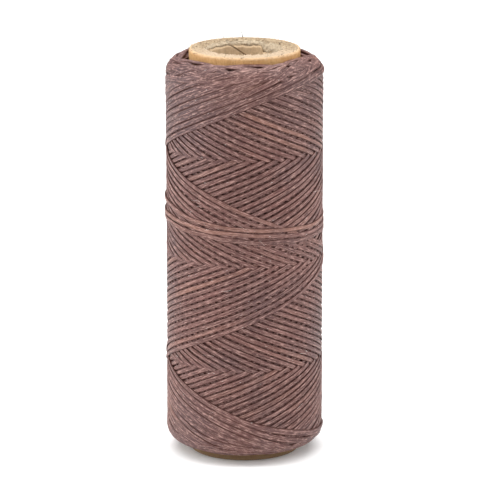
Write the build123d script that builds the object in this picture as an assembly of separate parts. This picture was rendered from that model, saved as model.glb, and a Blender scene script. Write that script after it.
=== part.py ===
from build123d import *
import os

# A spool of flat waxed thread: a spiral-wound paper tube with one long thread cross-wound on it.
# Origin at the centre of the tube's lower end, +Z up along the tube. Millimetres.

# Driving dimensions
tube_length = 84.0
bore_radius = 7.3
liner_thickness = 0.5        # the thin inner ply that lines the bore
body_ply_thickness = 1.0
body_ply_count = 3
outer_ply_thickness = 0.5    # the kraft ply that faces outwards
outer_ply_edge = 0.25        # rounding where the knife parted the tube

thread_thickness = 0.39      # flattened by the winding tension
thread_width = 1.15
layer_count = 6              # each layer is one pass up and one pass down, laid crosswise
bare_end = 1.35              # tube left bare beyond the thread at each end
shoulder_height = 4.6        # how far the thread's rounded ends reach along the tube
first_shoulder = 1.6         # the same on the innermost layer

wrap_count = 3               # the last turns, laid side by side around the waist
wrap_pitch = 1.18
wrap_thickness = 0.42
wrap_height = 49.6           # where the middle wrap crosses the axis
wrap_rise_x = -0.1           # the wraps sit aslant: rise per unit of X and of Y
wrap_rise_y = 0.056

# Worked out from them
tube_radius = bore_radius + liner_thickness + body_ply_count * body_ply_thickness + outer_ply_thickness
layer_thickness = 2 * thread_thickness
build_up = layer_count * layer_thickness
thread_radius = tube_radius + build_up


def tube(inner_radius, outer_radius):
    """A plain tube of the core's full length, standing on the origin."""
    ring = Circle(outer_radius) - Circle(inner_radius)
    return extrude(ring, tube_length)


def outer_ply():
    """The kraft ply, its two outside edges softened."""
    inner_radius = tube_radius - outer_ply_thickness
    ply = tube(inner_radius, tube_radius)
    rims = ply.edges().filter_by(GeomType.CIRCLE)
    outside_rims = [rim for rim in rims if rim.radius > inner_radius + outer_ply_thickness / 2]
    return fillet(outside_rims, outer_ply_edge)


def skin(layers):
    """Half of the outline that this many layers make, as edges from the tube's lower end upwards:
    a quarter ellipse off the bare tube, a straight side and a quarter ellipse back to the tube."""
    reach = layers * layer_thickness
    height = first_shoulder + (shoulder_height - first_shoulder) * (layers - 1) / (layer_count - 1)
    lower_centre = (tube_radius, bare_end + shoulder_height)
    upper_centre = (tube_radius, tube_length - bare_end - shoulder_height)
    lower = EllipticalCenterArc(lower_centre, reach, height, -90, arc_size=90)
    upper = EllipticalCenterArc(upper_centre, reach, height, 0, arc_size=90)
    return [lower, Line(lower @ 1, upper @ 0), upper]


def thread_layer(number):
    """One sleeve of thread, which wraps over the ends of the sleeve inside it."""
    outside = skin(number)
    if number == 1:
        section = make_face(outside + [Line(outside[-1] @ 1, outside[0] @ 0)])
    else:
        inside = skin(number - 1)
        upper_end = Line(outside[-1] @ 1, inside[-1] @ 1)
        lower_end = Line(inside[0] @ 0, outside[0] @ 0)
        section = make_face(outside + [upper_end] + inside + [lower_end])
    return revolve(Plane.XZ * section, Axis.Z)


def finishing_wraps():
    """Three flat turns that hug the winding, each a thin shell cut by two slanting planes."""
    shell = tube(thread_radius, thread_radius + wrap_thickness)
    slant = Vector(-wrap_rise_x, -wrap_rise_y, 1)
    wraps = []
    for turn in range(wrap_count):
        height = wrap_height + (turn - (wrap_count - 1) / 2) * wrap_pitch
        slab = Plane((0, 0, height), z_dir=slant) * Box(60, 60, thread_width)
        wraps += (shell & slab).solids()
    return Compound(wraps)


def all_nodes():
    """Every sub-part of the spool, from the bore outwards."""
    nodes = {}
    radius = bore_radius + liner_thickness
    nodes["core_liner_ply"] = tube(bore_radius, radius)
    for number in range(1, body_ply_count + 1):
        nodes[f"core_body_ply_{number}"] = tube(radius, radius + body_ply_thickness)
        radius += body_ply_thickness
    nodes["core_outer_ply"] = outer_ply()
    for number in range(1, layer_count + 1):
        nodes[f"thread_layer_{number}"] = thread_layer(number)
    nodes["finishing_wraps"] = finishing_wraps()
    return nodes


os.makedirs("parts", exist_ok=True)
for name, shape in all_nodes().items():
    export_step(shape, f"parts/{name}.step")
    print(f"{name}: {shape.volume:.1f} mm3")
print(f"thread radius {thread_radius:.2f} mm, tube radius {tube_radius:.2f} mm")
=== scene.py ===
import bpy
import math
import random
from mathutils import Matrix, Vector, noise


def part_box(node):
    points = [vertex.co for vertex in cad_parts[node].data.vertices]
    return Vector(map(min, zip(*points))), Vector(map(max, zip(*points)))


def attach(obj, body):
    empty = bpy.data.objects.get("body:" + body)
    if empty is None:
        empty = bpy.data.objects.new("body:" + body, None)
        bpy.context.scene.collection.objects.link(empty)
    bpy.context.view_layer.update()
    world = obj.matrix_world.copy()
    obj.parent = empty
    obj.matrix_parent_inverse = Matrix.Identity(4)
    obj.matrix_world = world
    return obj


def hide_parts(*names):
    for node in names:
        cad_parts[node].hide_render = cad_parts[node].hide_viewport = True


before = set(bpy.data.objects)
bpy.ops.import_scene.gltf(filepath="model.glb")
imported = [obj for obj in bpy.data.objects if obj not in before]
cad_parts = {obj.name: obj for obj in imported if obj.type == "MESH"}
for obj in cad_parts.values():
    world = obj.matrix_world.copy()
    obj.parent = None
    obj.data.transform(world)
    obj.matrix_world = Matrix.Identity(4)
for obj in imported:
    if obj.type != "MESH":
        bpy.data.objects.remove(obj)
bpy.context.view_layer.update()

mm = 0.001
turn = 2 * math.pi

# sizes that the frame gives
layerNames = sorted(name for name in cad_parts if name.startswith("thread_layer_"))
plyNames = sorted(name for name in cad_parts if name.startswith("core_body_ply_"))
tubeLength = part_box("core_outer_ply")[1].z
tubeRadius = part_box("core_outer_ply")[1].x
plyRadii = [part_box("core_liner_ply")[1].x] + [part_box(name)[1].x for name in plyNames]
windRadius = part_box(layerNames[-1])[1].x
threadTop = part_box(layerNames[-1])[1].z
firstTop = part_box(layerNames[0])[1].z
buildUp = windRadius - tubeRadius
layerBuild = buildUp / len(layerNames)


def deselectAll():
    if bpy.context.object and bpy.context.object.mode != "OBJECT":
        bpy.ops.object.mode_set(mode="OBJECT")
    bpy.ops.object.select_all(action="DESELECT")


def selectOnly(piece):
    deselectAll()
    piece.select_set(True)
    bpy.context.view_layer.objects.active = piece


def smoothStep(x):
    x = min(max(x, 0.0), 1.0)
    return x * x * (3 - 2 * x)


def paint(piece, finish):
    piece.data.materials.clear()
    piece.data.materials.append(finish)


class Wire:
    # an output socket that can stand in a sum
    def __init__(self, finish, socket):
        self.finish = finish
        self.socket = socket

    def __add__(self, other):
        return self.finish.maths("ADD", self, other)

    def __sub__(self, other):
        return self.finish.maths("SUBTRACT", self, other)

    def __rsub__(self, other):
        return self.finish.maths("SUBTRACT", other, self)

    def __mul__(self, other):
        return self.finish.maths("MULTIPLY", self, other)

    def __truediv__(self, other):
        return self.finish.maths("DIVIDE", self, other)

    __radd__ = __add__
    __rmul__ = __mul__


class Finish:
    # a material with one principled shader, and the nodes that feed it
    def __init__(self, name, **shaderValues):
        self.material = bpy.data.materials.new(name)
        self.material.use_nodes = True
        self.tree = self.material.node_tree
        self.shader = self.tree.nodes["Principled BSDF"]
        for socket, value in shaderValues.items():
            self.shader.inputs[socket.replace("_", " ")].default_value = value

    def node(self, kind, settings, values, out=0):
        made = self.tree.nodes.new(kind)
        for setting, value in settings.items():
            if setting == "stops":
                stops = made.color_ramp.elements
                while len(stops) < len(value):
                    stops.new(0.5)
                for stop, (place, colour) in zip(stops, value):
                    stop.position = place
                    stop.color = colour
            else:
                setattr(made, setting, value)
        for socket, value in values.items():
            if isinstance(value, Wire):
                self.tree.links.new(value.socket, made.inputs[socket])
            else:
                made.inputs[socket].default_value = value
        return Wire(self, made.outputs[out])

    def maths(self, operation, *terms):
        return self.node("ShaderNodeMath", {"operation": operation}, dict(enumerate(terms)))

    def mix(self, share, first, second):
        return self.node("ShaderNodeMix", {"data_type": "RGBA"}, {0: share, 6: first, 7: second}, out=2)

    def ramp(self, share, *stops):
        grey = [(place, (value, value, value, 1)) for place, value in stops]
        return self.node("ShaderNodeValToRGB", {"stops": grey}, {0: share})

    def noise(self, where, scale, detail=2.0, rough=0.5):
        values = {"Vector": where, "Scale": scale, "Detail": detail, "Roughness": rough}
        return self.node("ShaderNodeTexNoise", {}, values)

    def place(self):
        return self.node("ShaderNodeTexCoord", {}, {}, out="Object")

    def stretched(self, where, scale):
        return self.node("ShaderNodeMapping", {}, {"Vector": where, "Scale": scale})

    def split(self, vector):
        separate = self.node("ShaderNodeSeparateXYZ", {}, {0: vector}).socket.node
        return [Wire(self, output) for output in separate.outputs]

    def join(self, x, y, z):
        return self.node("ShaderNodeCombineXYZ", {}, {0: x, 1: y, 2: z})

    def bump(self, height, strength, depth):
        return self.node("ShaderNodeBump", {}, {"Height": height, "Strength": strength, "Distance": depth})

    def feed(self, **wires):
        for socket, wire in wires.items():
            self.tree.links.new(wire.socket, self.shader.inputs[socket.replace("_", " ")])
        return self.material


thread = {
    "width": 1.01 * mm,          # the flat strand, side to side
    "thickness": 0.40 * mm,
    "tripsPerLayer": 34,         # up and down again, before the laps close up round the spool
    "turnsPerStroke": 2,         # turns of the spool while the guide goes from one end to the other
    "rise": 6.93 * mm,           # height gained per radian of turning
    "offset": 0.3 * mm,          # how much higher than the tube the stroke is centred
    "newestLap": math.radians(90),   # where the last trip of the outer layer starts
    "spare": 0.75,               # half trips of build kept back under the winding's outside
    "tight": 15.75 * mm,         # beyond this the last strands sink into the ones below, by half
    "seed": 4,
}
strandStraying = {
    # how far a strand strays from its lap: slowly, quickly, and where it turns back
    "slow": 0.20 * mm,
    "quick": 0.05 * mm,
    "edge": 0.32 * mm,
    "crown": 0.05 * mm,          # in and out
    "roll": 0.32,                # how far it tips about its own length
    "width": 0.12,               # and by how much its width varies
}
strandWidening = {
    "edge": 0.42,                # wider where they turn back
    "end": 0.5,                  # and where they settle into the rounded ends
    "closing": 0.30,             # strokes lie side by side without gaps over their last stretch
    "closingReach": 24 * mm,
    "widest": (1.42, 1.62),      # bottom and top
}
roundedEnd = {
    "shoulder": 3.9 * mm,        # how far the rounded ends reach along the tube
    "square": (0.74, 0.88),      # under 1, the corner stands further out than an ellipse's, bottom and top
    "steepest": 0.96,            # share of the quarter turn where the last strand sits
    "reach": (0.89, 1.0),        # how near they come to the ends of the tube, bottom and top
    "gather": 0.60,              # how much the strands ride up the rounded ends
    "nearShare": 0.08,           # where on the rounded end a stroke may turn back
    "farShare": 0.76,
    "farLeaning": 0.55,          # under 1, more of them turn back far round
    "lastTurns": (0.09, 0.25),   # and where the very last ones do, bottom and top
    "settle": 0.6,               # how far the ends flatten the strands into one another
    "settleReach": 4 * mm,
    "settleLevel": 0.85,         # the height they settle to, in layers above the one below
    "bareSide": math.radians(-52),   # the foot of the tube shows more on this side
    "bareShare": 0.42,
}
shoulderTop = threadTop - roundedEnd["shoulder"]
shoulderLow = tubeLength - shoulderTop
middle = tubeLength / 2
strokeAngle = turn * thread["turnsPerStroke"]
lapStep = turn / thread["tripsPerLayer"]
# where the strokes would end if they were straight all the way
bareLow = middle + thread["offset"] - thread["rise"] * strokeAngle / 2
bareHigh = bareLow + thread["rise"] * strokeAngle
# how far out each half trip and the first strands lie
halfTripBuild = buildUp / (2 * len(layerNames) + thread["spare"])
firstCentre = tubeRadius + thread["thickness"] / 2

waist = {
    "turns": 3,
    "pitch": 1.18 * mm,
    "height": 49.6 * mm,
    "slantX": -0.1,              # rise per unit of X and of Y, so the turns sit aslant
    "slantY": 0.056,
    "radius": 16.12 * mm,        # centre of the strand, and how much further out on the right and left
    "aside": (0.15 * mm, 0.42 * mm),
    "strayTurn": 2.325,          # where on the last turn it strays upwards, in turns
    "strayReach": 0.2,
    "strayRise": 1.5 * mm,
    "joinAngle": math.radians(153),
    "joinBefore": 0.55,          # the stroke bends into the turns over this stretch, in radians
    "joinOver": 0.9,
    "firstTurn": -1.575,         # how far below the middle the turns begin, in pitches
    "wander": 0.48 * mm,         # how far the turns stray up and down, slowly and quickly
    "quiver": 0.24 * mm,
    "bed": 0.92,                 # the strands beneath are pressed in by this share of a thickness
    "bedWidth": 1.5 * mm,
    "bedDepth": 0.5 * mm,
    "tailAngle": math.radians(24),   # the end is tucked under the turns and comes out below them
    "tailDrop": 5.6 * mm,
    "tailSink": 0.384 * mm,
    "tailOut": 0.93,             # the share of its length where it comes out
    "tailLump": 0.24 * mm,       # the turns ride over it in a lump
}


def waistHeight(angle):
    across = waist["slantX"] * math.sin(angle) - waist["slantY"] * math.cos(angle)
    return waist["height"] + windRadius * across


def waistRadius(angle):
    toRight = math.sin(angle)
    return waist["radius"] + waist["aside"][toRight < 0] * abs(toRight)


def shoulderReach(build):
    grown = (build - layerBuild) / (buildUp - layerBuild)
    return firstTop - shoulderTop + (threadTop - firstTop) * grown


def shoulderArc(build):
    return math.pi / 2 * math.sqrt((build ** 2 + shoulderReach(build) ** 2) / 2)


def ontoSkin(run, crown):
    # run is a height on the straight side, and carries on round the end as if the skin were flat
    over = abs(run - middle) - (shoulderTop - middle)
    if over <= 0:
        return crown, run, 0.0
    half = thread["thickness"] / 2
    build = crown + half - tubeRadius
    reach = shoulderReach(build)
    arc = shoulderArc(build)
    over *= 1 + roundedEnd["gather"] * over / arc
    bend = min(over / arc, roundedEnd["steepest"]) * math.pi / 2
    square = roundedEnd["square"][run > middle]
    reach *= roundedEnd["reach"][run > middle]
    outward = reach * math.cos(bend)
    upward = build * square * math.cos(bend) ** (square - 1) * math.sin(bend)
    size = math.hypot(outward, upward)
    radius = tubeRadius + build * math.cos(bend) ** square - half * outward / size
    above = shoulderTop - middle + reach * math.sin(bend) - half * upward / size
    side = math.copysign(1, run - middle)
    return radius, middle + side * above, -side * math.atan2(upward, outward)


def turningPoints(layer, chance):
    # how far round the end each trip turns back, low end and high end, spread evenly but in no order:
    # stepping by either part of the golden section scatters them, and each layer starts elsewhere
    trips = thread["tripsPerLayer"]
    crown = tubeRadius + (layer + 0.5) * layerBuild
    arc = shoulderArc(crown - tubeRadius)
    near = roundedEnd["nearShare"]
    spread = roundedEnd["farShare"] - near
    low, high = [], []
    for trip in range(trips + 1):
        for ends, step in ((low, 0.382), (high, 0.618)):
            scattered = (trip * step + 0.3 * layer + chance.uniform(-0.07, 0.07)) % 1
            share = scattered ** roundedEnd["farLeaning"]
            if ends is low:
                turned = thread["newestLap"] - (trips - 1 - trip) * lapStep - roundedEnd["bareSide"]
                share *= 1 - roundedEnd["bareShare"] * smoothStep(2 * math.cos(turned) - 0.6)
            ends.append(near + spread * share)
    if layer == len(layerNames) - 1:
        low[trips], high[trips - 1] = roundedEnd["lastTurns"]
    return [shoulderLow - share * arc for share in low], [shoulderTop + share * arc for share in high]


def strokeHeight(along, lowTurn, highTurn):
    # straight strokes, each eased into its turning point
    lowBend = 2 * (lowTurn - bareLow) / thread["rise"]
    highBend = 2 * (bareHigh - highTurn) / thread["rise"]
    if along < lowBend:
        return lowTurn + thread["rise"] * along ** 2 / (2 * lowBend), 1 - along / lowBend
    if strokeAngle - along < highBend:
        left = strokeAngle - along
        return highTurn - thread["rise"] * left ** 2 / (2 * highBend), 1 - left / highBend
    return bareLow + thread["rise"] * along, 0.0


def strandLift(along, up):
    # each strand climbs over the older ones from crossing to crossing, then drops behind the next
    crossing = (along + lapStep / 4) / (turn / 2)
    past = crossing - round(crossing)
    atTop = up and round(crossing) == 2 * thread["turnsPerStroke"]
    drop = 0 if atTop else smoothStep(past * turn / lapStep + 0.5)
    ramp = min(past + 1 - drop, 1.0)
    return ramp if up else 1 - ramp


def pressedIn(crown, run, angle):
    # the turns round the waist bite into the strands under them
    bed = waistRadius(angle) - thread["thickness"] * waist["bed"]
    clear = abs(run - waistHeight(angle)) - waist["turns"] * waist["pitch"] / 2
    free = bed + waist["bedDepth"] * smoothStep(clear / waist["bedWidth"])
    return min(crown, free) if clear < waist["bedWidth"] else crown


def straying(swept, often, trip, trips, lane):
    # a smooth random value that changes so often along the strand, and from trip to trip
    return noise.noise(Vector((swept * often, trip * trips, lane)))


def strandPoint(run, crown, angle, trip, swept, edge, up=True):
    # a point of the centre line: its place, its roll and its width
    crown -= 0.5 * max(crown - thread["tight"], 0)
    over = abs(run - middle) - (shoulderTop - middle)
    settled = roundedEnd["settle"] * smoothStep(over / roundedEnd["settleReach"])
    layer = min(trip // thread["tripsPerLayer"], len(layerNames) - 1)
    crown += (tubeRadius + layerBuild * (layer + roundedEnd["settleLevel"]) - crown) * settled
    run += strandStraying["slow"] * straying(swept, 1.1, trip, 3.7, 0.5)
    run += strandStraying["quick"] * straying(swept, 4.7, trip, 5.3, 4.5)
    run += strandStraying["edge"] * edge * straying(swept, 2.6, trip, 5.1, 8.5)
    crown += strandStraying["crown"] * straying(swept, 3.1, trip, 2.9, 6.5)
    radius, height, tip = ontoSkin(run, crown)
    tip += strandStraying["roll"] * straying(swept, 1.7, trip, 4.1, 2.5)
    ahead = tubeLength - run if up else run
    size = 1 + strandWidening["edge"] * edge + strandWidening["end"] * settled
    size += strandWidening["closing"] * smoothStep(1.6 - 1.6 * ahead / strandWidening["closingReach"])
    size += strandStraying["width"] * straying(swept, 2.0, trip, 2.3, 3.5)
    size = min(size, strandWidening["widest"][run > middle])
    return Vector((radius * math.sin(angle), -radius * math.cos(angle), height)), tip, size


def layerRoute(layer, stepDegrees):
    trips = thread["tripsPerLayer"]
    allTrips = trips * len(layerNames)
    low, high = turningPoints(layer, random.Random(thread["seed"] + layer))
    steps = round(2 * math.degrees(strokeAngle) / stepDegrees)
    dwellSteps = max(1, round(math.degrees(lapStep) / stepDegrees))
    points = []
    for number in range(trips):
        trip = layer * trips + number
        start = thread["newestLap"] - (allTrips - 1 - trip) * lapStep
        for step in range(steps + dwellSteps):
            swept = 2 * strokeAngle * min(step / steps, 1)
            dwell = max(step - steps, 0) / dwellSteps
            up = swept <= strokeAngle
            along = swept if up else 2 * strokeAngle - swept
            run, edge = strokeHeight(along, low[number if up else number + 1], high[number])
            lift = strandLift(along, up)
            lift += (strandLift(0, True) + 2 / trips - lift) * smoothStep(dwell)
            crown = firstCentre + halfTripBuild * (2 * trip / trips + lift)
            angle = start + swept + dwell * lapStep
            if layer >= len(layerNames) - 2:
                crown = pressedIn(crown, run, angle)
            points.append(strandPoint(run, crown, angle, trip, swept + dwell * lapStep, edge, up))
    return points


strandSections = {
    # outwards and across, in half thicknesses and half widths, starting under the strand and going
    # round the way that makes its faces point outwards
    "ribbed": [
        (-1.0, 0.0), (-0.85, 0.6), (-0.2, 0.97), (0.4, 0.91), (0.74, 0.68), (0.93, 0.44), (0.78, 0.24),
        (1.0, 0.0), (0.76, -0.22), (0.9, -0.42), (0.78, -0.66), (0.45, -0.9), (-0.2, -0.97), (-0.85, -0.6),
    ],
    "plain": [(-1, 0), (-0.6, 0.9), (0.5, 0.85), (1, 0), (0.5, -0.85), (-0.6, -0.9)],
}


def strandSection(kind):
    data = bpy.data.curves.new("strandSection", "CURVE")
    spline = data.splines.new("POLY")
    outline = strandSections[kind]
    spline.points.add(len(outline) - 1)
    for point, (outward, across) in zip(spline.points, outline):
        point.co = (outward * thread["thickness"] / 2, across * thread["width"] / 2, 0, 1)
    spline.use_cyclic_u = True
    section = bpy.data.objects.new("strandSection", data)
    bpy.context.scene.collection.objects.link(section)
    return section


def sweepStrand(name, points, kind, replaced, finish):
    deselectAll()
    section = strandSection(kind)
    data = bpy.data.curves.new(name, "CURVE")
    data.dimensions = "3D"
    data.twist_mode = "Z_UP"
    data.bevel_mode = "OBJECT"
    data.bevel_object = section
    data.use_fill_caps = True
    spline = data.splines.new("POLY")
    spline.points.add(len(points) - 1)
    for point, (place, tip, size) in zip(spline.points, points):
        point.co = (*place, 1)
        point.tilt = tip
        point.radius = size
    strand = bpy.data.objects.new(name, data)
    bpy.context.scene.collection.objects.link(strand)
    selectOnly(strand)
    bpy.ops.object.convert(target="MESH")
    strand = bpy.context.object
    bpy.ops.object.shade_smooth()
    bpy.data.objects.remove(section)
    # the map runs along the thread in centimetres, so that the finish keeps its scale on every length
    length = sum((there[0] - here[0]).length for here, there in zip(points, points[1:]))
    loops = strand.data.uv_layers[0].data
    flat = [0.0] * (2 * len(loops))
    loops.foreach_get("uv", flat)
    flat[0::2] = [along * length / (10 * mm) for along in flat[0::2]]
    loops.foreach_set("uv", flat)
    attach(strand, "root")
    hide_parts(replaced)
    paint(strand, finish)
    print(f"{name}: {length:.1f} m of thread, {len(strand.data.polygons)} faces")
    return length


threadColours = {
    "body": (0.150, 0.063, 0.055, 1),
    "dull": (0.103, 0.045, 0.039, 1),
    "dark": (0.040, 0.015, 0.013, 1),
    "paleStreakAndHighlight": (0.44, 0.265, 0.228, 1),
    "warm": (0.29, 0.140, 0.098, 1),
    "grey": (0.078, 0.043, 0.047, 1),
    "grooveShade": (0.058, 0.017, 0.012, 1),
    "wax": (0.72, 0.66, 0.62, 1),
}
# where the thread is darkened: the middle of each patch in mm, its reach in mm and its strength
threadDarkPatches = (
    ((-14, -9, 73), 17, 0.9),
    ((12, -11, 77), 10, 0.5),
    ((-11, -12, 7), 9, 0.6),
    ((3, -16, 34), 6, 0.5),
    ((15, -5, 25), 8, 0.6),
)


def makeThreadFinish(name, warmFrom):
    finish = Finish(name, Roughness=0.5, Specular_IOR_Level=0.3)
    along, around = finish.split(finish.node("ShaderNodeUVMap", {"uv_map": "UVMap"}, {}))[:2]
    # filaments: fine lines along the strand, a little twisted
    filaments = finish.noise(finish.join(along * 1.6, around * 15 + along * 0.9, 0.0), 1.0, 3.0, 0.6)
    blotches = finish.noise(finish.join(along * 0.55, around * 3.0, 7.0), 1.0, 2.0, 0.55)
    flecks = finish.noise(finish.join(along * 7.5, around * 7.0 + along * 0.9, 5.0), 1.0, 2.0, 0.6)
    # slow changes along the thread
    dyeing = finish.noise(finish.join(along * 0.13, 3.0, 0.0), 1.0, 2.0, 0.5)
    warmth = finish.noise(finish.join(along * 0.085, 11.0, 0.0), 1.0, 1.0, 0.5)
    patches = finish.noise(finish.place(), 90.0, 3.0, 0.55)

    dyed = finish.ramp(dyeing, (0.30, 0.0), (0.66, 1.0))
    colour = finish.mix(dyed, threadColours["dull"], threadColours["body"])
    warmed = finish.ramp(warmth, (warmFrom, 0.0), (warmFrom + 0.12, 0.75))
    colour = finish.mix(warmed, colour, threadColours["warm"])
    greyed = finish.ramp(patches, (0.52, 0.0), (0.68, 0.6))
    colour = finish.mix(greyed, colour, threadColours["grey"])
    for centre, reach, strength in threadDarkPatches:
        values = {0: finish.place(), 1: [distance * mm for distance in centre]}
        away = finish.node("ShaderNodeVectorMath", {"operation": "DISTANCE"}, values, out=1) / (reach * mm)
        darkPatch = finish.ramp(away + (patches - 0.5) * 1.5, (0.35, strength), (1.0, 0.0))
        colour = finish.mix(darkPatch, colour, threadColours["grey"])
    colour = finish.mix(finish.ramp(blotches, (0.30, 0.45), (0.50, 0.0)), colour, threadColours["dark"])
    # the pale streaks along the filaments and the pale flecks: partly the fibres' own tone, partly painted
    # highlight
    colour = finish.mix(finish.ramp(filaments, (0.51, 0.0), (0.70, 0.85)), colour, threadColours["paleStreakAndHighlight"])
    colour = finish.mix(finish.ramp(filaments, (0.29, 0.7), (0.47, 0.0)), colour, threadColours["dark"])
    colour = finish.mix(finish.ramp(flecks, (0.53, 0.0), (0.70, 0.85)), colour, threadColours["paleStreakAndHighlight"])
    colour = finish.mix(finish.ramp(flecks, (0.28, 0.65), (0.46, 0.0)), colour, threadColours["dark"])
    # painted shade: the sides and the underside of each strand are darkened, as the grooves between the
    # strands are out of the light
    fromTop = finish.maths("ABSOLUTE", around - 0.5)
    colour = finish.mix(finish.ramp(fromTop, (0.20, 0.0), (0.28, 1.0)), colour, threadColours["grooveShade"])
    # specks of wax
    speckled = finish.noise(finish.join(along * 9.0, around * 9.0, 2.0), 1.0, 1.0, 0.5)
    colour = finish.mix(finish.ramp(speckled, (0.76, 0.0), (0.80, 0.8)), colour, threadColours["wax"])

    roughness = 0.40 + 0.30 * filaments
    bump = finish.bump(filaments, 0.5, 0.05 * mm)
    return finish.feed(Base_Color=colour, Roughness=roughness, Normal=bump)


threadFinish = makeThreadFinish("waxedThread", 0.56)
# the last turns show more of the warm tone: partly the thread's own, partly painted highlight
waistFinish = makeThreadFinish("waxedThreadLastTurns", 0.50)
print("thread finish made")

# degrees of turning from point to point of a strand, and what the outermost layer is cut into
strandSteps = {"outermost": 5, "beneath": 6, "buried": 12, "waist": 4}
outerPieces = 3
threadLength = 0
for number, node in enumerate(layerNames):
    name = f"winding_{number + 1}"
    if number == len(layerNames) - 1:
        route = layerRoute(number, strandSteps["outermost"])
        share = len(route) // outerPieces
        for part in range(outerPieces):
            end = (part + 1) * share + 1 if part < outerPieces - 1 else len(route)
            stretch = route[part * share:end]
            threadLength += sweepStrand(f"{name}_{part + 1}", stretch, "ribbed", node, threadFinish)
    else:
        detail = "beneath" if number == len(layerNames) - 2 else "buried"
        route = layerRoute(number, strandSteps[detail])
        threadLength += sweepStrand(name, route, "plain", node, threadFinish)


def waistRoute(stepDegrees):
    # the thread carries on from the outer layer: one last stroke up, the turns round the waist, and the end
    trips = thread["tripsPerLayer"]
    trip = trips * len(layerNames)
    lastLayer = len(layerNames) - 1
    lowTurn = turningPoints(lastLayer, random.Random(thread["seed"] + lastLayer))[0][trips]
    start = thread["newestLap"] + lapStep
    points = []
    step = math.radians(stepDegrees)
    # the turns begin at the first passage of this angle near their height
    joinSwept = turn + waist["joinAngle"] - start
    while joinSwept < (waist["height"] - bareLow) / thread["rise"] - 0.3:
        joinSwept += turn
    swept = 0.0
    lastSwept = joinSwept + waist["turns"] * turn
    while swept < lastSwept + waist["tailAngle"]:
        angle = start + swept
        run, edge = strokeHeight(swept, lowTurn, bareHigh - 1 * mm)
        crown = firstCentre + halfTripBuild * (2 * trip / trips + strandLift(swept, True))
        turnsIn = (swept - joinSwept) / turn
        wrapRun = waistHeight(angle) + waist["pitch"] * (turnsIn + waist["firstTurn"])
        strayed = smoothStep(1 - abs(turnsIn - waist["strayTurn"]) / waist["strayReach"])
        wrapRun += waist["strayRise"] * strayed
        wrapRun += waist["wander"] * noise.noise(Vector((angle * 0.9, 3.3, 7.7)))
        wrapRun += waist["quiver"] * noise.noise(Vector((angle * 3.1, 9.3, 1.7)))
        join = smoothStep((swept - joinSwept + waist["joinBefore"]) / waist["joinOver"])
        run += (wrapRun - run) * join
        crown += (waistRadius(angle) - crown) * join
        # the tail drops, and dips under the turns, which ride over it
        tail = max(swept - lastSwept, 0) / waist["tailAngle"]
        run -= waist["tailDrop"] * tail
        under = smoothStep(5 * tail) * smoothStep(4 * (waist["tailOut"] - tail))
        overTail = math.cos(angle - start - lastSwept - 0.5 * waist["tailAngle"])
        crown += join * waist["tailLump"] * smoothStep((overTail - 0.955) / 0.04)
        crown -= waist["tailSink"] * under
        points.append(strandPoint(run, crown, angle, trip, swept, edge * (1 - join)))
        swept += step
    return points


route = waistRoute(strandSteps["waist"])
threadLength += sweepStrand("waist_turns", route, "ribbed", "finishing_wraps", waistFinish)
print(f"thread, end to end: {threadLength:.1f} m")


core = {
    "segments": 400,
    # rows of a wall, in mm from each end
    "ends": [0.1, 0.22, 0.36, 0.52, 0.7, 0.9, 1.15, 1.45, 1.8, 2.3, 3.0, 4.2, 7, 13],
    "linerThickness": 0.5 * mm,
    "outerRounding": 0.42 * mm,
}
tornPaper = {
    "grain": 0.30 * mm,          # size of its lumps
    "fuzz": 0.105 * mm,          # how far they stand out
    "reach": 0.9 * mm,           # how far in from each end they go
    "rise": 0.1 * mm,            # and how far above the rim
    "smoothFrom": 0.3 * mm,      # the outside of the kraft is smooth from here on
}
tornBand = {
    # the band at the top of the bore, where its lining is torn away
    "depth": 0.87 * mm,
    "wave": 0.352 * mm,
    "deeper": 1.3 * mm,          # how much further down it goes at the back on the right
    "deeperFrom": 27,            # between these angles from the back, in degrees
    "deeperTo": 80,
    "setBack": 0.55 * mm,        # how far its upper edge stands back into the ply
    "lean": 0.12 * mm,           # and how far its lower edge stands out
    "burr": 0.24 * mm,           # torn paper standing up at the front of the bore
    "burrLean": 0.25 * mm,
    "crack": 0.17 * mm,          # the dark crack under it
    "crackDepth": 0.34 * mm,
    "crackReach": 0.9 * mm,
}
# rows of the innermost ply down the band and below it, in mm from the rim
tornBandRows = [tornBand["depth"] / mm * step / 12 for step in range(1, 13)]
tornBandRows += [1.2, 1.3, 1.5, 1.8, 2.3, 3.0, 4.2, 7, 13]
lining = {
    "bend": 4.5 * mm,            # its rows follow the torn edge over this stretch
    "edge": 0.35 * mm,           # towards the torn edge it thins out over this stretch, by so much
    "thinning": 0.2 * mm,
    "lumps": 0.05 * mm,
    "waves": 0.03 * mm,
    "seamPitch": 31.6 * mm,      # it is a strip wound in a spiral
    "seamStart": math.radians(-23),
    "seamWidth": 0.20 * mm,
    "seamDepth": 0.22 * mm,
    "lapRise": 0.05 * mm,        # the strip stands out a little above its seam
    "lapReach": 5 * mm,
}
liningRows = [0.08 * step for step in range(1, 51)] + [4.5, 5.5, 7.5, 13]
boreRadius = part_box("core_liner_ply")[1].x - core["linerThickness"]
linerTop = tubeLength - tornBand["depth"] - tornBand["crack"]


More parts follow.
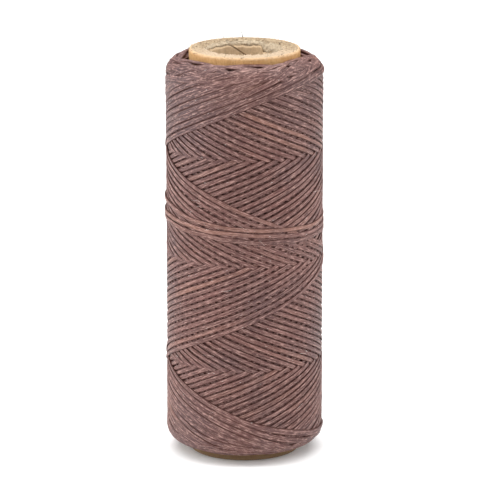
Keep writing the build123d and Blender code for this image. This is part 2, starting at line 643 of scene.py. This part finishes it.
def turnedSleeve(name, outline):
    # a ring of cardboard: its outline, as radius and height, carried round the axis and closed
    deselectAll()
    radius, height = outline[0]
    bpy.ops.mesh.primitive_circle_add(vertices=core["segments"], radius=radius, location=(0, 0, height))
    piece = bpy.context.object
    piece.name = name
    bpy.ops.object.transform_apply(location=True)
    bpy.ops.object.mode_set(mode="EDIT")
    bpy.ops.mesh.select_mode(type="VERT")
    bpy.ops.mesh.select_all(action="SELECT")
    for nextRadius, nextHeight in outline[1:]:
        bpy.ops.mesh.extrude_region_move(TRANSFORM_OT_translate={"value": (0, 0, nextHeight - height)})
        grow = nextRadius / radius
        bpy.ops.transform.resize(value=(grow, grow, 1), center_override=(0, 0, nextHeight))
        radius, height = nextRadius, nextHeight
    bpy.ops.mesh.select_all(action="DESELECT")
    bpy.ops.mesh.select_non_manifold()
    bpy.ops.mesh.bridge_edge_loops()
    bpy.ops.mesh.select_all(action="SELECT")
    bpy.ops.mesh.normals_make_consistent(inside=False)
    bpy.ops.object.mode_set(mode="OBJECT")
    bpy.ops.object.shade_smooth()
    return piece


def wallRows(radius, high, fromTop=None):
    # rows of a wall going up, close together towards both ends
    steps = [step * mm for step in (fromTop or core["ends"])]
    lower = [step * mm for step in core["ends"]]
    upper = [high - step for step in reversed(steps)]
    return [(radius, height) for height in lower + upper]


def ringRows(first, last, height, count):
    # rows of a level ring, from one radius to another
    return [(first + (last - first) * step / count, height) for step in range(count + 1)]


def reshape(piece, moved):
    # moved gives each point's new radius and height from its angle, radius and height
    for vertex in piece.data.vertices:
        x, y, z = vertex.co
        angle, radius = math.atan2(x, -y), math.hypot(x, y)
        newRadius, newHeight = moved(angle, radius, z)
        vertex.co = (newRadius * math.sin(angle), -newRadius * math.cos(angle), newHeight)


def tearHeight(angle):
    # where the torn band ends, wandering up and down round the bore
    slow = Vector((math.cos(angle) * 3.4, math.sin(angle) * 3.4, 1.7))
    fine = Vector((math.cos(angle) * 11, math.sin(angle) * 11, 5.1))
    finest = Vector((angle * 27, 3.1, 2.2))
    wave = 0.45 * noise.noise(slow) + 0.4 * noise.noise(fine) + 0.3 * noise.noise(finest)
    fromBack = math.degrees(math.atan2(math.sin(angle), -math.cos(angle)))
    deeper = smoothStep((fromBack - tornBand["deeperFrom"]) / 4)
    deeper *= smoothStep((tornBand["deeperTo"] - fromBack) / 14)
    return tubeLength - tornBand["depth"] + tornBand["wave"] * wave - tornBand["deeper"] * deeper


def lumps(angle, radius, height, seed):
    # the grain of torn paper, coarse and fine
    place = Vector((radius * math.sin(angle), -radius * math.cos(angle), height)) / tornPaper["grain"]
    coarse = noise.noise(place * 0.7 + Vector((seed, 0, 0)))
    fine = noise.noise(place * 1.9 + Vector((0, seed, 0)))
    return coarse + 0.6 * fine


def nearEnd(height, depth):
    # 1 at either end of the tube, falling to 0 this far in
    fromEnd = min(height, tubeLength - height)
    return smoothStep(1 - fromEnd / depth)


def tearEnds(angle, radius, height):
    # torn ends: lumpy on top, kept level below, where the spool stands
    rough = nearEnd(height, tornPaper["reach"]) * tornPaper["fuzz"]
    lump = lumps(angle, radius, height, 3.0)
    newRadius = radius + rough * lump
    if height > middle:
        newHeight = height + rough * lumps(angle, radius, height, 9.0)
    else:
        newHeight = max(height + 0.5 * rough * lump, 0)
    return newRadius, min(newHeight, tubeLength + tornPaper["rise"])


def kraftShape(angle, radius, height):
    newRadius, newHeight = tearEnds(angle, radius, height)
    fromEnd = min(height, tubeLength - height)
    outer = radius > tubeRadius - 0.01 * mm
    if outer and fromEnd > tornPaper["smoothFrom"]:
        newRadius = radius
    return newRadius, newHeight


def innerBoardShape(angle, radius, height):
    newRadius, newHeight = tearEnds(angle, radius, height)
    tear = tearHeight(angle)
    inner = radius < plyRadii[0] + tornBand["setBack"]
    if not inner or height < middle:
        return newRadius, newHeight
    # the rows of the wall's upper part are spread from the rim down to the tear
    fromTop = tubeLength - height
    span = tornBand["depth"]
    if fromTop <= span + 0.001 * mm:
        share = fromTop / span
        newHeight = tubeLength - (tubeLength - tear) * share
        bulge = math.sin(min(share, 1) * math.pi * 0.6)
        newRadius = plyRadii[0] + tornBand["setBack"] * (1 - bulge) - tornBand["lean"] * share
        newRadius += 2.0 * tornPaper["fuzz"] * lumps(angle, newRadius, newHeight, 5.0)
        newHeight += tornPaper["fuzz"] * lumps(angle, newRadius, newHeight, 7.0) * (1 - share)
        front = smoothStep((math.cos(angle) + 0.35) / 0.8)
        burr = smoothStep(1 - share * 4) * front
        torn = noise.noise(Vector((angle * 13, 2.0, 0.0))) + 0.7 * noise.noise(Vector((angle * 31, 5.0, 0.0)))
        newHeight += tornBand["burr"] * burr * (0.5 + 0.8 * torn)
        newRadius -= tornBand["burrLean"] * burr
        return newRadius, newHeight
    # below it the ply is hollowed out behind the crack
    recess = smoothStep(1 - (fromTop - span) / tornBand["crackReach"])
    return plyRadii[0] + tornBand["crackDepth"] * recess, height + (tear - tubeLength + span) * recess


def seamGap(angle, height):
    # how far a point of the bore is from the spiral seam, up or down
    fromBack = math.atan2(math.sin(angle), -math.cos(angle))
    line = tubeLength - tornBand["depth"] - lining["seamPitch"] * (fromBack - lining["seamStart"]) / turn
    return (height - line + lining["seamPitch"] / 2) % lining["seamPitch"] - lining["seamPitch"] / 2


def linerShape(angle, radius, height):
    inner = radius < boreRadius + 0.2 * mm
    across, deep = math.cos(angle) * 4, math.sin(angle) * 4
    tear = tearHeight(angle) - tornBand["crack"] * (0.9 + 1.4 * noise.noise(Vector((across, deep, 2))))
    if height > middle:
        fromTop = linerTop - height
        height += (tear - linerTop) * smoothStep(1 - fromTop / lining["bend"])
        edge = smoothStep(1 - fromTop / lining["edge"])
        if inner:
            radius += lining["thinning"] * edge
        height += lining["lumps"] * edge * lumps(angle, radius, height, 4.0)
    if inner:
        gap = seamGap(angle, height)
        radius += lining["seamDepth"] * smoothStep(1 - abs(gap) / lining["seamWidth"])
        lap = smoothStep(gap / lining["seamWidth"]) * smoothStep(1 - gap / lining["lapReach"])
        radius -= lining["lapRise"] * lap
        radius += lining["waves"] * noise.noise(Vector((across, deep, height / (3 * mm))))
    return radius, max(height, 0)


rounding = core["outerRounding"]
corner = [math.radians(step) for step in range(0, 91, 15)]
corner = [(tubeRadius - rounding * (1 - math.cos(angle)), tubeLength - rounding * (1 - math.sin(angle)))
          for angle in corner]
kraftOutline = [(radius, tubeLength - height) for radius, height in reversed(corner)]
kraftOutline += [row for row in wallRows(tubeRadius, tubeLength) if rounding < row[1] < tubeLength - rounding]
kraftOutline += corner + [(plyRadii[-1], tubeLength)]
kraftOutline += list(reversed(wallRows(plyRadii[-1], tubeLength))) + [(plyRadii[-1], 0)]
kraft = turnedSleeve("kraft_sleeve", kraftOutline)
reshape(kraft, kraftShape)
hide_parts("core_outer_ply")

boards = []
for number, node in enumerate(plyNames):
    inner, outer = plyRadii[number], plyRadii[number + 1]
    if number:
        rim = ringRows(outer, inner, tubeLength, 6)
        bore = wallRows(inner, tubeLength)
    else:
        rim = ringRows(outer, inner + tornBand["setBack"], tubeLength, 4)
        bore = wallRows(inner, tubeLength, tornBandRows)
    outline = [(radius, tubeLength - height) for radius, height in reversed(rim)]
    outline += wallRows(outer, tubeLength) + rim + list(reversed(bore))
    board = turnedSleeve(f"board_ply_{number + 1}", outline)
    reshape(board, tearEnds if number else innerBoardShape)
    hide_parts(node)
    boards.append(board)

linerOutline = ringRows(boreRadius, plyRadii[0], 0, 3)
linerOutline += wallRows(plyRadii[0], linerTop)
linerOutline += ringRows(plyRadii[0], boreRadius, linerTop, 3)
linerOutline += list(reversed(wallRows(boreRadius, linerTop, liningRows)))
liner = turnedSleeve("bore_liner", linerOutline)
reshape(liner, linerShape)
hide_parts("core_liner_ply")
for piece in (kraft, liner, *boards):
    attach(piece, "root")
    print(f"{piece.name}: {len(piece.data.polygons)} faces")


def paperFinish(name, colours, grain, rough):
    # paper: long fibres, lumps of grain and darker specks. The colours: two that cloud into each other,
    # a dark one for the hollows and a pale one for the lumps: partly the paper's own mottling, partly painted
    # shade in the hollows and painted highlight on the lumps
    finish = Finish(name, Roughness=0.9, Specular_IOR_Level=0.2)
    where = finish.place()
    clouds = finish.noise(where, 350.0, 3.0, 0.6)
    lumpy = finish.noise(where, grain, 4.0, 0.65)
    fibres = finish.noise(finish.stretched(where, (1.0, 1.0, 0.16)), 5200.0, 2.0, 0.6)
    colour = finish.mix(finish.ramp(clouds, (0.35, 0.0), (0.65, 1.0)), colours[0], colours[1])
    colour = finish.mix(finish.ramp(lumpy, (0.34, rough), (0.49, 0.0)), colour, colours[2])
    colour = finish.mix(finish.ramp(lumpy, (0.54, 0.0), (0.70, rough)), colour, colours[3])
    colour = finish.mix(finish.ramp(fibres, (0.35, 0.35), (0.5, 0.0)), colour, colours[2])
    crumbs = finish.noise(finish.stretched(where, (1.0, 1.0, 1.6)), grain * 0.55, 2.0, 0.5)
    colour = finish.mix(finish.ramp(crumbs, (0.33, rough), (0.41, 0.0)), colour, colours[2])
    height = lumpy * 0.7 + fibres * 0.3
    return finish, where, colour, height


def makeKraftFinish():
    colours = (
        (0.60, 0.355, 0.155, 1),
        (0.52, 0.295, 0.125, 1),
        (0.32, 0.16, 0.06, 1),
        (0.65, 0.43, 0.23, 1),
    )
    finish, where, colour, height = paperFinish("kraftPaper", colours, 1500.0, 0.35)
    # rubbed pale where the edge is torn
    up = finish.split(where)[2]
    fromMiddle = finish.maths("ABSOLUTE", up - middle)
    edge = (fromMiddle - (middle - tornPaper["reach"])) / tornPaper["reach"]
    ragged = edge + (height - 0.5) * 0.9
    colour = finish.mix(finish.ramp(ragged, (0.35, 0.0), (1.05, 0.8)), colour, (0.60, 0.43, 0.28, 1))
    # and painted shade at the foot, where the winding overhangs it
    paintedFootShade = finish.ramp(up / (3 * mm), (0.35, 0.8), (0.75, 0.0))
    colour = finish.mix(paintedFootShade, colour, (0.17, 0.115, 0.07, 1))
    return finish.feed(Base_Color=colour, Normal=finish.bump(height, 0.5, 0.05 * mm))


def makeBoardFinish():
    colours = (
        (0.42, 0.315, 0.20, 1),
        (0.36, 0.265, 0.165, 1),
        (0.10, 0.062, 0.034, 1),
        (0.60, 0.49, 0.35, 1),
    )
    finish, where, colour, height = paperFinish("tornBoard", colours, 2300.0, 0.85)
    # painted light: the torn band is painted paler against the shade it lies in, and the rim is painted paler
    # towards the front, a painted highlight
    x, y = finish.split(where)[:2]
    radius = finish.maths("SQRT", x * x + y * y)
    paintedBandLight = finish.ramp((radius - plyRadii[0]) / (1 * mm) + (height - 0.5) * 0.4, (0.25, 0.55), (0.6, 0.0))
    colour = finish.mix(paintedBandLight, colour, (0.66, 0.56, 0.42, 1))
    paintedFrontLight = finish.ramp(0.5 - y / (16 * mm) + (height - 0.5) * 0.7, (0.45, 0.0), (0.85, 0.60))
    colour = finish.mix(paintedFrontLight, colour, (0.56, 0.43, 0.31, 1))
    return finish.feed(Base_Color=colour, Normal=finish.bump(height, 0.8, 0.10 * mm))


def makeLinerFinish():
    colours = (
        (0.62, 0.46, 0.29, 1),
        (0.55, 0.405, 0.26, 1),
        (0.36, 0.255, 0.16, 1),
        (0.70, 0.55, 0.39, 1),
    )
    finish, where, colour, height = paperFinish("linerPaper", colours, 1200.0, 0.35)
    # a dark crease along the seam
    x, y, z = finish.split(where)
    fromBack = finish.maths("ARCTAN2", x, y)
    turned = (fromBack - lining["seamStart"]) / turn
    line = (z - tubeLength + tornBand["depth"]) / lining["seamPitch"] + turned
    fromSeam = finish.maths("ABSOLUTE", finish.maths("WRAP", line, 0.5, -0.5)) * lining["seamPitch"]
    crease = finish.ramp(fromSeam / (0.5 * mm), (0.15, 0.75), (0.5, 0.0))
    colour = finish.mix(crease, colour, (0.16, 0.10, 0.06, 1))
    return finish.feed(Base_Color=colour, Normal=finish.bump(height, 0.4, 0.04 * mm))


paint(kraft, makeKraftFinish())
boardFinish = makeBoardFinish()
for board in boards:
    paint(board, boardFinish)
paint(liner, makeLinerFinish())
print("core made")


def hairPiece(name, hairs, thickness, finish):
    # each hair is a line of points, drawn as a thin three-sided thread that tapers away
    deselectAll()
    data = bpy.data.curves.new(name, "CURVE")
    data.dimensions = "3D"
    data.bevel_depth = thickness / 2
    data.bevel_resolution = 0
    data.use_fill_caps = True
    for places in hairs:
        spline = data.splines.new("POLY")
        spline.points.add(len(places) - 1)
        for number, (point, place) in enumerate(zip(spline.points, places)):
            point.co = (*place, 1)
            point.radius = 1 - 0.75 * number / (len(places) - 1)
    piece = bpy.data.objects.new(name, data)
    bpy.context.scene.collection.objects.link(piece)
    selectOnly(piece)
    bpy.ops.object.convert(target="MESH")
    piece = bpy.context.object
    bpy.ops.object.shade_smooth()
    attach(piece, "root")
    paint(piece, finish)
    print(f"{name}: {len(hairs)} hairs, {len(piece.data.polygons)} faces")


def curlingHair(place, heading, length, curl, chance):
    steps = 6
    places = [place.copy()]
    for step in range(steps):
        heading = (heading + curl * Vector([chance.uniform(-1, 1) for axis in range(3)])).normalized()
        places.append(places[-1] + heading * length / steps)
    return places


rimFibres = {
    "count": 260,
    "length": (0.3 * mm, 0.95 * mm),
    "thickness": 0.09 * mm,
    "curl": 0.45,
    "sunk": 0.12 * mm,           # how far below the rim they start
    "tuft": 2.5 * mm,            # the few hairs that stand up together at the back
    "tuftAside": (-0.07 * mm, 0, 0.08 * mm),
    "tuftCurl": 0.16,
    "seed": 12,
}
chance = random.Random(rimFibres["seed"])
hairs = []
for number in range(rimFibres["count"]):
    angle = chance.uniform(0, turn)
    outward = Vector((math.sin(angle), -math.cos(angle), 0))
    # two in three stand at the bore and lean into it, the others lean outwards
    if number % 3:
        radius = plyRadii[0] + chance.uniform(0.1, 0.9) * mm
        lean = -1
    else:
        radius = tubeRadius - chance.uniform(0.1, 0.5) * mm
        lean = 1
    heading = outward * lean * chance.uniform(0.2, 1.0) + Vector((0, 0, chance.uniform(0.1, 0.7)))
    place = outward * radius + Vector((0, 0, tubeLength - rimFibres["sunk"]))
    length = chance.uniform(*rimFibres["length"])
    hairs.append(curlingHair(place, heading.normalized(), length, rimFibres["curl"], chance))
for aside in rimFibres["tuftAside"]:
    place = Vector((aside - 0.4 * mm, tubeRadius - 0.5 * mm, tubeLength - 0.1 * mm))
    length = rimFibres["tuft"] - 6 * abs(aside)
    hairs.append(curlingHair(place, Vector((-0.05, 0, 1)), length, rimFibres["tuftCurl"], chance))
fibreFinish = Finish("paperFibre", Roughness=0.8)
fibreTone = fibreFinish.ramp(fibreFinish.noise(fibreFinish.place(), 700.0), (0.46, 0.0), (0.56, 1.0))
fibreColour = fibreFinish.mix(fibreTone, (0.10, 0.06, 0.035, 1), (0.58, 0.43, 0.28, 1))
# painted shade: dark where they stand clear of the rim and show against the bright background
aboveRim = fibreFinish.split(fibreFinish.place())[2] - tubeLength
clear = fibreFinish.ramp(aboveRim / (1 * mm), (0.15, 0.0), (0.45, 1.0))
fibreFinish.feed(Base_Color=fibreFinish.mix(clear, fibreColour, (0.10, 0.085, 0.05, 1)))
hairPiece("rim_fibres", hairs, rimFibres["thickness"], fibreFinish.material)

strayFilaments = {
    "count": 70,
    "length": (0.8 * mm, 3.2 * mm),
    "thickness": 0.045 * mm,
    "curl": 0.22,
    "proud": 0.12 * mm,          # how far outside the winding they start
    "seed": 21,
}
chance = random.Random(strayFilaments["seed"])
hairs = []
for number in range(strayFilaments["count"]):
    angle = chance.uniform(0, turn)
    height = chance.uniform(shoulderLow, shoulderTop)
    outward = Vector((math.sin(angle), -math.cos(angle), 0))
    sideways = Vector((math.cos(angle), math.sin(angle), 0)) * chance.choice((-1, 1))
    place = outward * (windRadius + strayFilaments["proud"]) + Vector((0, 0, height))
    heading = sideways + Vector((0, 0, chance.uniform(-0.5, 0.5))) + outward * chance.uniform(0.0, 0.12)
    length = chance.uniform(*strayFilaments["length"])
    hairs.append(curlingHair(place, heading.normalized(), length, strayFilaments["curl"], chance))
strayFinish = Finish("strayFilament", Roughness=0.45)
strayTone = strayFinish.ramp(strayFinish.noise(strayFinish.place(), 400.0), (0.42, 0.0), (0.58, 1.0))
strayFinish.feed(Base_Color=strayFinish.mix(strayTone, threadColours["warm"], threadColours["wax"]))
hairPiece("stray_filaments", hairs, strayFilaments["thickness"], strayFinish.material)


studio = {
    "distance": 729.3 * mm,
    "height": 228.6 * mm,
    "pitch": math.radians(14.31),
    "aside": 0.29 * mm,
    "lens": 268.6,
    "boxes": [
        # name, place, what it is aimed at, width and height, watts
        ("leftBox", (-0.55, -0.02, 0.26), (0, 0, 0.04), (0.35, 0.4), 2.3),
        ("rightBox", (0.55, -0.02, 0.26), (0, 0, 0.04), (0.35, 0.4), 1.6),
        ("frontBox", (-0.1, -0.75, 0.5), (0, 0, 0.04), (0.6, 0.4), 2.8),
        ("overheadBox", (0, 0.2, 0.75), (0, 0.2, 0.04), (1.1, 1.1), 11),
    ],
    "floor": (0.92, 0.92, 0.92, 1),
    "floorGlow": 0.05,
    "white": (1, 1, 1, 1),
    "surroundings": 0.25,        # strength of the white light from all round
}
cameraData = bpy.data.cameras.new("camera")
cameraData.lens = studio["lens"]
camera = bpy.data.objects.new("camera", cameraData)
bpy.context.scene.collection.objects.link(camera)
camera.location = (studio["aside"], -studio["distance"], studio["height"])
camera.rotation_euler = (math.pi / 2 - studio["pitch"], 0, 0)
bpy.context.scene.camera = camera


def softbox(name, place, target, size, power):
    data = bpy.data.lights.new(name, "AREA")
    data.shape = "RECTANGLE"
    data.size, data.size_y = size
    data.energy = power
    lamp = bpy.data.objects.new(name, data)
    bpy.context.scene.collection.objects.link(lamp)
    lamp.location = place
    lamp.rotation_euler = (Vector(target) - Vector(place)).to_track_quat("-Z", "Y").to_euler()


for box in studio["boxes"]:
    softbox(*box)

deselectAll()
bpy.ops.mesh.primitive_plane_add(size=4)
floor = bpy.context.object
floor.name = "floor"
floorFinish = Finish("floorWhite", Base_Color=studio["floor"], Roughness=0.8)
floorFinish.shader.inputs["Emission Color"].default_value = studio["white"]
floorFinish.shader.inputs["Emission Strength"].default_value = studio["floorGlow"]
paint(floor, floorFinish.material)
world = bpy.data.worlds.new("studio")
world.use_nodes = True
background = world.node_tree.nodes["Background"]
background.inputs["Color"].default_value = studio["white"]
background.inputs["Strength"].default_value = studio["surroundings"]
bpy.context.scene.world = world
bpy.context.scene.view_settings.view_transform = "Standard"
print("studio made")
